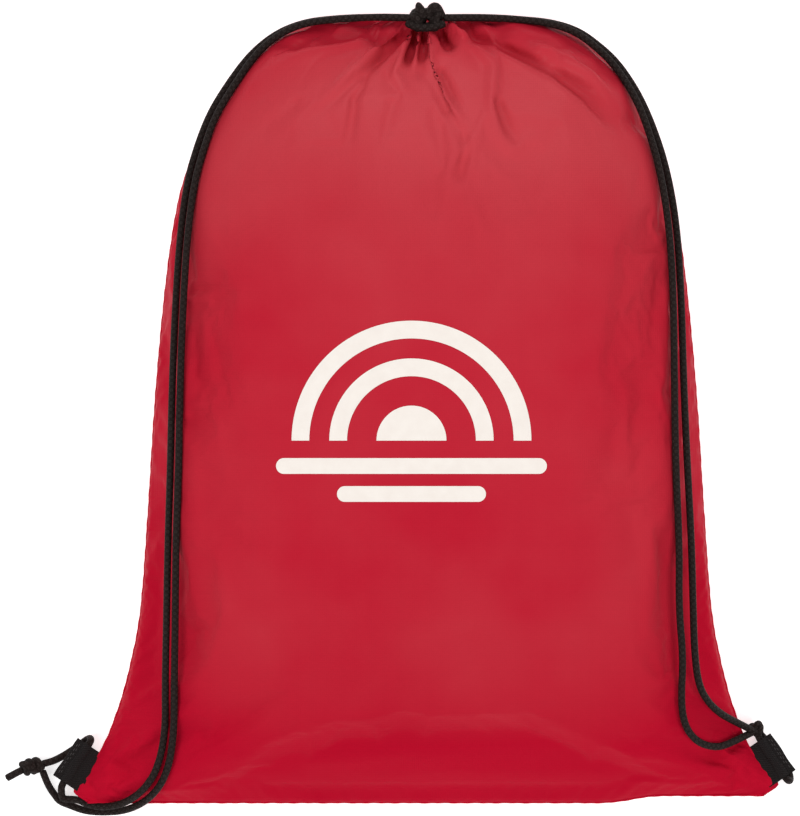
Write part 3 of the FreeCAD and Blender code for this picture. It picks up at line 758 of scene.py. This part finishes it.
# Sharp creases pressed into the settled cloth: points in millimetres, depth and half width.
sharpCreases = [
    ([(-7.7, 182.2), (-19.7, 176.2), (-26.5, 174.2)], 1.9, 1.5),
    ([(-4.1, 182.5), (-8.9, 169.4), (-10.0, 164.0)], 1.9, 1.2),
    ([(-0.5, 182.0), (-2.9, 165.6), (-3.4, 158.8)], 1.9, 1.2),
    ([(1.9, 182.0), (0.7, 171.8), (4.8, 162.2), (7.9, 151.2), (9.6, 145.4), (14.9, 139.6)], 1.8, 1.4),
    ([(6.9, 154.2), (9.6, 145.4), (13.9, 140.6), (18.3, 132.0), (18.7, 122.8), (16.3, 108.8)], 1.3, 1.7),
    ([(6.7, 182.4), (9.1, 177.6), (13.5, 176.6)], 1.9, 1.3),
    ([(11.0, 182.4), (24.1, 178.8), (38.5, 174.2)], 1.4, 1.5),
    ([(36.1, 175.8), (54.7, 167.0), (62.9, 162.2), (69.1, 158.4), (77.3, 152.6), (83.5, 145.4), (91.3, 136.2)], 1.7, 1.8),
    ([(34.1, 150.8), (38.9, 136.8), (43.3, 127.0)], 1.0, 1.9),
    ([(-17.1, 175.8), (-30.7, 162.2), (-36.5, 157.4), (-50.9, 145.4), (-59.5, 138.2)], 0.9, 1.9),
    ([(-34.0, 152.8), (-36.5, 139.2), (-38.4, 118.4)], 0.8, 2.0),
    ([(-64.5, 174.6), (-53.3, 181.4), (-38.7, 184.0)], 1.2, 1.8),
    ([(153.6, -157.9), (144.5, -163.5), (133.3, -171.4)], 2.4, 2.6),
    ([(151.0, -153.0), (139.7, -152.2), (128.0, -150.0)], 1.2, 2.6),
    ([(-163.7, -177.6), (-160.8, -181.4), (-157.0, -184.0)], 1.2, 1.8),
    ([(-152.0, -168.0), (-145.0, -174.7), (-136.0, -178.0)], 1.3, 3.0),
]


def halved(grid, axis, closed):
    # puts one smooth new row between each two
    grid = np.moveaxis(grid, axis, 0)
    if closed:
        before, after, further = np.roll(grid, 1, 0), np.roll(grid, -1, 0), np.roll(grid, -2, 0)
        middle = (9 * (grid + after) - before - further) / 16
        made = np.empty((2 * len(grid),) + grid.shape[1:])
        made[0::2], made[1::2] = grid, middle
    else:
        padded = np.concatenate([2 * grid[:1] - grid[1:2], grid, 2 * grid[-1:] - grid[-2:-1]])
        middle = (9 * (padded[1:-2] + padded[2:-1]) - padded[:-3] - padded[3:]) / 16
        made = np.empty((2 * len(grid) - 1,) + grid.shape[1:])
        made[0::2], made[1::2] = grid, middle
    return np.moveaxis(made, 0, axis)


def creased(grid):
    normal = normalsOf(grid)
    x, y = grid[..., 0] / mm, grid[..., 1] / mm
    columns = grid.shape[1]
    half = columns // 2
    front = np.zeros(grid.shape[:2])
    front[:, 1:half] = 1
    depth = np.zeros(grid.shape[:2])
    for line, deep, wide in sharpCreases:
        depth -= clothFacts["creaseScale"] * deep * strokeHeight(x, y, line, wide) ** 0.7
        depth += 0.30 * deep * strokeHeight(x + 1.6 * wide, y + 1.6 * wide, line, 1.6 * wide)
    # the right shoulder stands out to the cord that lies against it
    reach = np.clip(x, 0, None) / 90.0
    shoulder = np.exp(-(((y - 163.0) / 17.0) ** 2)) * np.clip(reach, 0, 1) ** 3
    out = np.zeros_like(grid)
    out[..., 0] = 3.6 * shoulder * mm
    # the bottom seam rides up towards the right corner
    out[..., 1] = 3.4 * smoothStep((x - 84) / 30) * smoothStep((-160 - y) / 20) * mm
    return grid + normal * (depth * front * mm)[..., None] + out


bagGrid = creased(halved(halved(bagGrid, 0, False), 1, True))
clothRowCount = len(bagGrid)
clothFacts["columns"] *= 2
bodyRows = 2 * bodyRows - 1


def clothHalf(name, front):
    # the front or the back, from one side seam to the other
    half = clothFacts["columns"]
    columns = np.arange(0, half + 1) if front else np.arange(half, 2 * half + 1) % (2 * half)
    part = bagGrid[:, columns]
    rows, count = part.shape[:2]
    made = addMesh(name, part.reshape(-1, 3), gridFaces(rows, count, False), clothRed)
    return made


frontCloth = clothHalf("frontCloth", True)
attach(frontCloth, "bag")
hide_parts("front_panel")
backCloth = clothHalf("backCloth", False)
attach(backCloth, "bag")
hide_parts("back_panel")
say(f"cloth, {clothRowCount} rows")


# ---- hem at the mouth ----
hemFacts = {
    "ring": 13.4,  # middle of the hem channel from the mouth's centre
    "wide": 3.9,
    "deep": 5.0,
    "across": 182.6,
    "folds": 23,
    "columns": 276,
    "sides": 22,
}


def drawnHem(name, start, end, node):
    # one half of the hem: a gathered roll of cloth round the mouth
    columns = hemFacts["columns"] // 2
    points = []
    for column in range(columns + 1):
        turn = start + (end - start) * column / columns
        fold = 0.62 * math.sin(hemFacts["folds"] * turn + 0.9 * math.sin(3 * turn))
        fold += 0.30 * math.sin(2 * hemFacts["folds"] * turn + 1.7) + 0.25 * math.sin(7 * turn + 0.4)
        ring = hemFacts["ring"] + 0.55 * math.sin(5 * turn + 0.6) + 0.45 * fold
        across = hemFacts["across"] + 0.8 * math.sin(4 * turn + 2.0) + 0.9 * fold
        for side in range(hemFacts["sides"]):
            angle = 2 * math.pi * side / hemFacts["sides"]
            swell = 1 + 0.15 * fold + 0.05 * math.sin(3 * angle + 5 * turn)
            radial = ring + hemFacts["wide"] * swell * math.cos(angle)
            y = across + hemFacts["deep"] * swell * math.sin(angle)
            z = clothFacts["mouthHeight"] + radial * math.sin(turn)
            points.append(Vector((radial * math.cos(turn), y, z)) * mm)
    sides = hemFacts["sides"]
    faces = gridFaces(columns + 1, sides, True)
    made = addMesh(name, points, faces, clothRed)
    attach(made, "bag")
    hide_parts(node)
    return made


drawnHem("frontHem", 0, math.pi, "front_hem")
drawnHem("backHem", math.pi, 2 * math.pi, "back_hem")


def cordInHem(name, offset, node):
    centre = Vector((0, hemFacts["across"] - 0.6 + offset, clothFacts["mouthHeight"]))
    route = []
    for step in range(12):
        turn = math.radians(14 + 332 * step / 11)
        side = math.copysign(1, offset)
        route.append(centre + Vector((side * math.cos(turn), 0, math.sin(turn))) * hemFacts["ring"])
    made, line, length = cordTube(name, inMetres(route))
    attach(made, "bag")
    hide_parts(node)


cordInHem("leftCordInHem", -1.9, "left_cord_in_hem")
cordInHem("rightCordInHem", 1.9, "right_cord_in_hem")
say("hem")


# ---- seams ----
def seamRidge(name, line, radius, node, tall=0.7):
    # a narrow puckered ridge of cloth where two panels are sewn together
    sides = 8
    line, travelled = spaced(line, 0.0016)
    forward = np.gradient(line, axis=0)
    forward /= np.linalg.norm(forward, axis=1)[:, None]
    points = []
    for place, direction, distance in zip(line, forward, travelled):
        side = np.cross(direction, [0, 0, 1])
        side /= np.linalg.norm(side)
        up = np.cross(side, direction)
        pucker = 1 + 0.16 * math.sin(distance * 900) + 0.10 * math.sin(distance * 390 + 1)
        for turn in range(sides):
            angle = 2 * math.pi * turn / sides
            points.append(place + (side * math.cos(angle) + up * math.sin(angle) * tall) * radius * pucker)
    count = len(line)
    faces = gridFaces(count, sides, True)
    faces.append(tuple(range(sides))[::-1])
    faces.append(tuple(range((count - 1) * sides, count * sides)))
    made = addMesh(name, points, faces, clothRed)
    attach(made, "bag")
    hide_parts(node)


seamRadius = 0.6 * mm
half = clothFacts["columns"]
seamRidge("leftSideSeam", bagGrid[1:bodyRows, 0], seamRadius, "left_side_seam")
seamRidge("rightSideSeam", bagGrid[1:bodyRows, half], seamRadius, "right_side_seam")
foot = (bagGrid[0, : half + 1] + bagGrid[0, np.r_[0, np.arange(2 * half - 1, half - 1, -1)]]) / 2
seamRidge("bottomSeam", foot, seamRadius, "bottom_seam", tall=1.0)
say("seams")


# ---- printed mark ----
markFacts = {"across": -7.0, "wide": 130.0, "tall": 84.0, "raised": 0.16 * mm, "grain": 1.2}


def inkMaterial():
    made, tree, shader = newMaterial("offWhiteInk")
    place = addNode(tree, "ShaderNodeTexCoord", {}, 3)
    blotch = addNode(tree, "ShaderNodeTexNoise", {}, 0, Vector=place, Scale=160.0, Detail=4.0)
    pores = addNode(tree, "ShaderNodeTexNoise", {}, 0, Vector=place, Scale=1800.0, Detail=2.0)
    colour = addNode(
        tree, "ShaderNodeMix", {"data_type": "RGBA"}, 2,
        i0=blotch, i6=(0.84, 0.76, 0.70, 1), i7=(0.93, 0.87, 0.81, 1),
    )
    feed(tree, shader, "Base Color", colour)
    feed(tree, shader, "Roughness", (0.55 + (blotch - 0.5) * 0.2).clamp())
    bump = addNode(tree, "ShaderNodeBump", {}, 0, Strength=0.25, Distance=0.0001, Height=pores + blotch)
    feed(tree, shader, "Normal", bump)
    return made


def flatPatch(outer, inner, count):
    # a grid of flat places between two lines that run side by side
    rows = []
    for share in np.linspace(0, 1, count):
        rows.append([(a[0] + (b[0] - a[0]) * share, a[1] + (b[1] - a[1]) * share) for a, b in zip(inner, outer)])
    return rows


def arcLine(centre, radius, count=72):
    return [
        (centre[0] + radius * math.cos(math.pi * k / count), centre[1] + radius * math.sin(math.pi * k / count))
        for k in range(count + 1)
    ]


def barLines(middle, long, thick):
    # upper and lower edge of a bar with round ends
    count = 80
    upper, lower = [], []
    for k in range(count + 1):
        share = -1 + 2 * k / count
        x = math.sin(share * math.pi / 2) * long / 2
        past = max(0.0, abs(x) - (long - thick) / 2) / (thick / 2)
        rise = thick / 2 * math.sqrt(max(0.0, 1 - min(1.0, past) ** 2))
        upper.append((middle[0] + x, middle[1] + rise))
        lower.append((middle[0] + x, middle[1] - rise))
    return upper, lower


def printedMark():
    tall, wide = markFacts["tall"], markFacts["wide"]
    centre = (markFacts["across"], -tall * 0.16)
    discEdge = arcLine(centre, tall * 0.20)
    patches = [flatPatch(discEdge, [(p[0], centre[1]) for p in discEdge], 12)]
    for inner, outer in ((0.29, 0.37), (0.46, 0.54)):
        patches.append(flatPatch(arcLine(centre, wide * outer * 0.82), arcLine(centre, wide * inner * 0.82), 8))
    for share, drop in ((1.0, 0.10), (0.55, 0.26)):
        thick = tall * 0.09
        middle = (centre[0], centre[1] - tall * drop - thick / 2)
        patches.append(flatPatch(*barLines(middle, wide * share, thick), 7))
    graph = bpy.context.evaluated_depsgraph_get()
    tree = BVHTree.FromObject(frontCloth, graph)
    points, faces = [], []
    for patch in patches:
        first = len(points)
        for row in patch:
            for x, y in row:
                hit, normal, index, distance = tree.ray_cast(Vector((x * mm, y * mm, 0.3)), Vector((0, 0, -1)))
                points.append(hit + normal * math.copysign(markFacts["raised"], normal.z))
        for face in gridFaces(len(patch), len(patch[0]), False):
            faces.append(tuple(first + k for k in face))
    made = addMesh("printedMark", points, faces, inkMaterial())
    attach(made, "bag")
    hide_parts("printed_mark")


printedMark()
say("print")


# ---- corner tabs ----
def webbingMaterial():
    made, tree, shader = newMaterial("blackWebbing")
    uv = addNode(tree, "ShaderNodeUVMap", {"uv_map": "along"})
    parts = tree.nodes.new("ShaderNodeSeparateXYZ")
    tree.links.new(uv.socket, parts.inputs[0])
    along, out = Sock(tree, parts.outputs[0]), Sock(tree, parts.outputs[1])
    twill = (along * (2 * math.pi / 0.0011) + out * (2 * math.pi / 0.0017)).sin()
    rib = (out * (2 * math.pi / 0.0008)).sin()
    weave = twill * 0.7 + rib * 0.3
    fleck = addNode(tree, "ShaderNodeTexNoise", {}, 0, Scale=1500.0, Detail=2.0)
    wear = addNode(tree, "ShaderNodeTexNoise", {}, 0, Scale=220.0, Detail=3.0)
    light = ((weave + 0.2) * 0.35).clamp() * 0.5 + ((fleck - 0.55) * 3).clamp() * 0.4 + ((wear - 0.5) * 0.5).clamp()
    colour = addNode(
        tree, "ShaderNodeMix", {"data_type": "RGBA"}, 2,
        i0=light.clamp(), i6=(0.010, 0.008, 0.008, 1), i7=(0.058, 0.048, 0.046, 1),
    )
    feed(tree, shader, "Base Color", colour)
    feed(tree, shader, "Roughness", (0.66 - light * 0.2).clamp())
    shader.inputs["Specular IOR Level"].default_value = 0.12
    bump = addNode(tree, "ShaderNodeBump", {}, 0, Strength=0.8, Distance=0.0003, Height=weave + fleck * 0.5)
    feed(tree, shader, "Normal", bump)
    return made


def threadMaterial():
    made, tree, shader = newMaterial("blackThread")
    fleck = addNode(tree, "ShaderNodeTexNoise", {}, 0, Scale=2500.0, Detail=1.0)
    colour = addNode(
        tree, "ShaderNodeMix", {"data_type": "RGBA"}, 2, i0=fleck, i6=(0.02, 0.017, 0.017, 1), i7=(0.07, 0.062, 0.06, 1)
    )
    feed(tree, shader, "Base Color", colour)
    feed(tree, shader, "Roughness", 0.5 + fleck * 0.2)
    return made


webbingBlack = webbingMaterial()
threadBlack = threadMaterial()
tabBend = {-1: (-1.0, 2.6), 1: (-1.0, 2.6)}  # two distances from the seam for each side; cornerTab turns them into start and end points


def tabProfile():
    # middle of the webbing: over the cord, round the folded edge and back under it
    thick = tabFacts["thick"]
    round_ = tabFacts["bore"] + thick / 2
    reach = tabFacts["reach"] - thick / 2
    tunnel = tabFacts["tunnel"]
    upper = []
    for out in np.concatenate([np.linspace(-2.2, 2.6, 7), np.linspace(3.0, 10.6, 22), np.linspace(10.9, reach - 0.5, 3)]):
        rise = math.sqrt(max(0.0, round_**2 - (out - tunnel) ** 2))
        flare = 0.62 * math.exp(-((abs(out - tunnel) - round_) / 0.8) ** 2)
        upper.append((out, max(thick / 2, rise, min(round_, thick / 2 + flare))))
    lower = [(out, -z) for out, z in upper[::-1]]
    edge = [(reach, 0.35), (reach + 0.08, 0.0), (reach, -0.35)]
    return upper + edge + lower


def cornerTab(name, side, node):
    profile = np.array(tabProfile())
    travelled = np.concatenate([[0], np.cumsum(np.linalg.norm(np.diff(profile, axis=0), axis=1))])
    steps = 26
    points, uv = [], []
    for step in range(steps + 1):
        share = step / steps
        along = (share - 0.5) * tabFacts["long"]
        lift = 0.25 * math.sin(share * 5.1 + side) * 0.5
        for (out, z), distance in zip(profile, travelled):
            skew = 0.18 * math.sin(share * 9 + out * 0.6 + side)
            near = smoothStep((out + 2.2) / 5.0)
            height = tabFacts["height"] + z * (0.72 + 0.28 * near) + lift
            points.append(corner(side, out + skew * near, along, height) * mm)
            uv.append((along * mm, distance * mm))
    made = addMesh(name, points, gridFaces(steps + 1, len(profile), False), webbingBlack, uv=uv)
    thick = made.modifiers.new("thick", "SOLIDIFY")
    thick.thickness = tabFacts["thick"] * mm
    thick.offset = 0
    applyModifiers(made)
    start = corner(side, tabBend[side][0], 0, tabFacts["height"]) * mm
    end = corner(side, tabBend[side][1], 0, tabFacts["height"]) * mm
    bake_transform(made)
    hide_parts(node)
    return made


def applyModifiers(piece):
    graph = bpy.context.evaluated_depsgraph_get()
    mesh = bpy.data.meshes.new_from_object(piece.evaluated_get(graph))
    piece.modifiers.clear()
    piece.data = mesh
    mesh.polygons.foreach_set("use_smooth", [True] * len(mesh.polygons))


def tabStitching(name, side, body, node):
    # two rows of raised threads above and below the folded edge
    facts = {"long": 1.8, "thick": 0.17, "pitch": 2.5, "count": 7}
    points, faces = [], []
    rings, sides = 7, 6
    for row in range(2):
        out = tabFacts["reach"] - 1.5 - 0.9 * row
        for number in range(facts["count"]):
            middle = (number - (facts["count"] - 1) / 2) * facts["pitch"] + 0.6 * row
            for under in (1, -1):
                first = len(points)
                for ring in range(rings):
                    share = ring / (rings - 1) * 2 - 1
                    along = middle + share * facts["long"] / 2
                    size = facts["thick"] * math.sqrt(max(0.02, 1 - share**4))
                    sag = -0.24 * share**2
                    for turn in range(sides):
                        angle = 2 * math.pi * turn / sides
                        height = tabFacts["height"] + under * (tabFacts["thick"] + 0.22 + sag) + size * math.sin(angle)
                        points.append(corner(side, out + size * math.cos(angle), along, height) * mm)
                faces += [tuple(first + k for k in face) for face in gridFaces(rings, sides, True)]
                faces.append(tuple(first + k for k in range(sides))[::-1])
                faces.append(tuple(first + (rings - 1) * sides + k for k in range(sides)))
    made = addMesh(name, points, faces, threadBlack)
    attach(made, body)
    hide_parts(node)


for side, word in ((-1, "left"), (1, "right")):
    cornerTab(word + "CornerTab", side, word + "_corner_tab")
    tabStitching(word + "TabStitching", side, word + "_tab", word + "_tab_stitches")
say("tabs")


# ---- knots ----
def joined(name, parts):
    # one object from several tubes
    base = parts[0]
    points, faces, uv = [], [], []
    for part in parts:
        first = len(points)
        mesh = part.data
        points += [v.co.copy() for v in mesh.vertices]
        faces += [tuple(first + k for k in face.vertices) for face in mesh.polygons]
        corners = np.zeros(len(mesh.loops) * 2, np.float32)
        mesh.uv_layers[0].data.foreach_get("uv", corners)
        uv.append(corners)
        bpy.data.objects.remove(part)
    made = addMesh(name, points, faces, cordBlack)
    layer = made.data.uv_layers.new(name="along")
    layer.data.foreach_set("uv", np.concatenate(uv))
    return made


def overhand(centre, stretch, lift, turn, tilt=0.0):
    # the crossing line of an overhand knot, stretched along its own axes
    spot = Matrix.Rotation(turn, 3, "Z") @ Matrix.Rotation(tilt, 3, "X")
    route = []
    for step in range(17):
        t = 0.35 + (2 * math.pi - 0.5) * step / 16
        flat = Vector((math.sin(t) + 2 * math.sin(2 * t), math.cos(t) - 2 * math.cos(2 * t), 0)) / 3
        place = Vector((flat.x * stretch[0], flat.y * stretch[1], -math.sin(3 * t) * lift))
        route.append(Vector(centre) + spot @ place)
    return route


def wraps(centre, axisTurn, turns, radius, pitch, start=0.0, tilt=0.25, flat=1.0):
    # turns of cord round a line that lies level
    count = max(6, int(turns * 8))
    line = Vector((math.cos(axisTurn), math.sin(axisTurn), 0))
    side = Vector((-math.sin(axisTurn), math.cos(axisTurn), 0))
    route = []
    for step in range(count + 1):
        share = step / count
        angle = start + share * turns * 2 * math.pi
        lean = tilt * radius * math.sin(angle)
        place = line * ((share - 0.5) * turns * pitch + lean)
        place += side * math.cos(angle) * radius + Vector((0, 0, math.sin(angle) * radius * flat))
        route.append(Vector(centre) + place)
    return route


def knotPiece(name, strands, body, *replaced):
    tubes = []
    for number, (route, radius, taper) in enumerate(strands):
        tubes.append(cordTube(f"{name}{number}", inMetres(route), radius * mm, 0.45 * mm, taper)[0])
    made = joined(name, tubes)
    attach(made, body)
    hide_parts(*replaced)
    return made


mouth = (0.4, 189.6, 68.8)
mouthKnot = knotPiece(
    "mouthKnot",
    [
        (overhand(mouth, (7.2, 4.6), 2.4, 0.15), 2.3, None),
        (wraps((-4.6, 188.6, 68.8), 0.25, 1.15, 4.0, 1.6, 0.4, 0.35, 0.85), 2.05, None),
        (wraps((5.0, 188.4, 68.6), -0.30, 1.15, 4.0, 1.6, 2.2, -0.3, 0.85), 2.1, None),
        ([(-9.4, 187.6, 69.6), (-6.0, 185.6, 72.0), (-0.6, 184.8, 73.4), (4.4, 185.4, 72.6), (9.0, 187.2, 70.0)], 2.0, None),
        ([(-0.4, 189.6, 70.6), (-2.2, 192.4, 71.4), (-3.4, 194.8, 71.2), (-3.9, 197.3, 70.6)], 2.2, (1.1, 1.2, 1.0, 0.45)),
        ([(-2.6, 187.0, 68.6), (-1.0, 190.0, 69.4), (0.4, 192.6, 69.4), (1.2, 194.4, 68.8)], 2.0, (1.0, 1.0, 0.8)),
        (
            [(1.2, 189.2, 70.6), (1.6, 192.2, 71.2), (2.8, 194.8, 71.0), (4.8, 195.4, 70.4), (6.4, 193.4, 69.6), (8.0, 189.6, 68.8)],
            1.95, (1.0, 1.05, 1.0),
        ),
    ],
    "bag", "mouth_knot",
)
leftMiddle = Vector((-190.0, -170.4, 6.3))
leftKnot = knotPiece(
    "leftEndKnot",
    [
        (wraps(leftMiddle, math.radians(11), 2.3, 2.7, 3.3, 0.8, 0.35, 0.9), 1.75, None),
        (
            [leftMiddle + Vector(v) for v in ((5.8, 0.6, 0.2), (3.2, -2.2, 2.0), (-0.4, -1.0, 3.1), (-3.4, 1.8, 1.6), (-5.4, 0.4, -0.4))],
            1.7, None,
        ),
    ],
    "left_tab", "left_end_knot",
)
rightMiddle = corner(1, 8.1, 16.4, 7.6)
rightKnot = knotPiece(
    "rightEndKnot",
    [
        (overhand(rightMiddle, (2.9, 2.7), 1.5, 0.6, 0.3), 1.7, None),
        (wraps(rightMiddle, math.radians(-40), 1.2, 2.6, 2.2, 1.0, 0.4, 0.9), 1.6, None),
    ],
    "right_tab", "right_end_knot",
)
tailRoute = [(-193.4, -171.6, 5.8), (-196.6, -173.2, 4.9), (-199.6, -174.8, 4.0), (-202.4, -176.3, 3.1)]
leftTail, tailLine, tailLength = cordTube("leftCordTail", inMetres(tailRoute), taper=(1.0, 1.0, 1.03))
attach(leftTail, "left_tab")
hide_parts("left_cord_tail")
say("knots")


# ---- floor and light ----
def addLight(name, place, aim, size, power, tint=(1, 1, 1)):
    data = bpy.data.lights.new(name, "AREA")
    data.shape = "RECTANGLE"
    data.size = size[0]
    data.size_y = size[1]
    data.energy = power
    data.color = tint
    made = bpy.data.objects.new(name, data)
    made.location = place
    made.rotation_mode = "QUATERNION"
    made.rotation_quaternion = (Vector(aim) - Vector(place)).to_track_quat("-Z", "Y")
    bpy.context.collection.objects.link(made)


def floorMaterial():
    made, tree, shader = newMaterial("paleFloor")
    grain = addNode(tree, "ShaderNodeTexNoise", {}, 0, Scale=3.0, Detail=2.0)
    shade = addNode(tree, "ShaderNodeMix", {"data_type": "RGBA"}, 2, i0=grain, i6=(0.86, 0.86, 0.86, 1), i7=(0.90, 0.90, 0.90, 1))
    feed(tree, shader, "Base Color", shade)
    shader.inputs["Roughness"].default_value = 0.85
    shader.inputs["Emission Color"].default_value = (1, 1, 1, 1)
    shader.inputs["Emission Strength"].default_value = 0.6
    return made


def addFloor():
    reach = 6.0
    lower = -0.0004
    corners = [(-reach, -reach, lower), (reach, -reach, lower), (reach, reach, lower), (-reach, reach, lower)]
    made = addMesh("floor", corners, [(0, 1, 2, 3)], floorMaterial(), smooth=False)


def addWorld():
    world = bpy.data.worlds.new("studio")
    world.use_nodes = True
    world.node_tree.nodes["Background"].inputs[0].default_value = (1, 1, 1, 1)
    world.node_tree.nodes["Background"].inputs[1].default_value = 0.30
    bpy.context.scene.world = world
    bpy.context.scene.view_settings.view_transform = "Standard"


addFloor()
addWorld()
addLight("overMouth", (0.0, 1.05, 1.15), (0, 0.08, 0.05), (1.2, 0.7), 9.0)
addLight("fromLeft", (-0.8, -0.5, 1.2), (0, -0.10, 0.05), (0.6, 1.0), 8.0)
addLight("fromRight", (0.8, -0.6, 1.2), (0, -0.10, 0.05), (0.6, 1.0), 8.0)
say("floor and light")


# ---- cords: baked in place, with the parts they stand in for hidden ----
leftBend = (Vector((-0.151, -0.17, 0.009)), Vector((-0.173, -0.17, 0.009)))
rightBend = (Vector((0.138, -0.16, 0.009)), Vector((0.155, -0.16, 0.009)))
cordPlan = {
    "leftOuterCord": ("left_tab", leftBend, ("left_cord_outer", "left_cord_in_tab")),
    "leftInnerCord": ("left_tab", leftBend, ("left_cord_inner", "left_cord_end")),
    "rightOuterCord": ("right_tab", rightBend, ("right_cord_outer", "right_cord_in_tab")),
    "rightInnerCord": ("right_tab", rightBend, ("right_cord_inner",)),
}
for name, (tabBody, (start, end), stands) in cordPlan.items():
    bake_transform(cords[name]["piece"])
    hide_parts(*stands)
for name, cord in cords.items():
    [leftKnot, leftTail] if name == "leftInnerCord" else [leftKnot] if "left" in name else [rightKnot]
